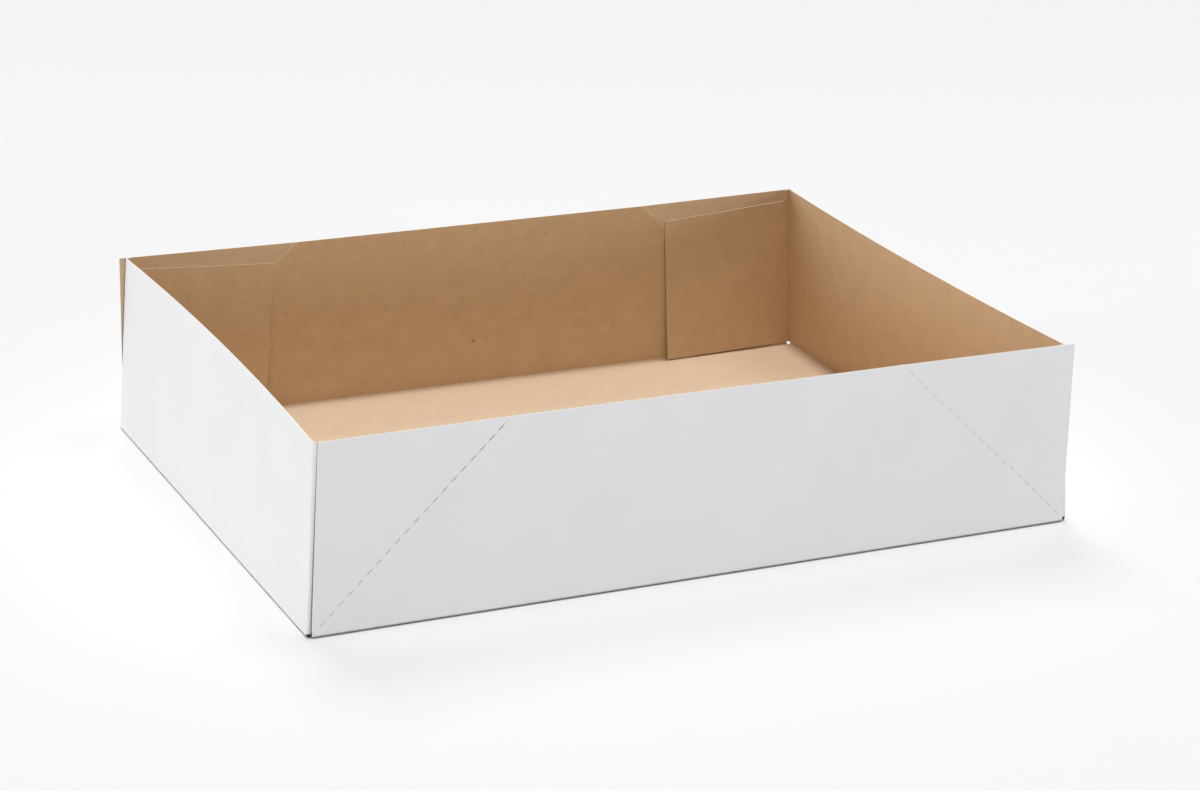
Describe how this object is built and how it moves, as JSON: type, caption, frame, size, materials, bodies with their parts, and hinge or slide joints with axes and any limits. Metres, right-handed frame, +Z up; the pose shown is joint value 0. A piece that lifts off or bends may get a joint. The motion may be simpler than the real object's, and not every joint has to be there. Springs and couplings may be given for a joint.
{
  "type": "cake box tray",
  "caption": "Open rectangular tray of folded board, the lidless bottom of a cake box: white outside, brown kraft inside, with glued corner flaps and scored diagonals.",
  "frame": {"origin": "centre of the footprint, on the underside of the floor panel", "axes": "+X along the length, +Y to the back wall, +Z up through the open top"},
  "size_m": [0.406, 0.3051, 0.095],
  "materials": {
    "board": "clay-coated white outside, uncoated brown kraft inside, matte"
  },
  "bodies": {
    "root": {"tray": "board"}
  },
  "joints": []
}
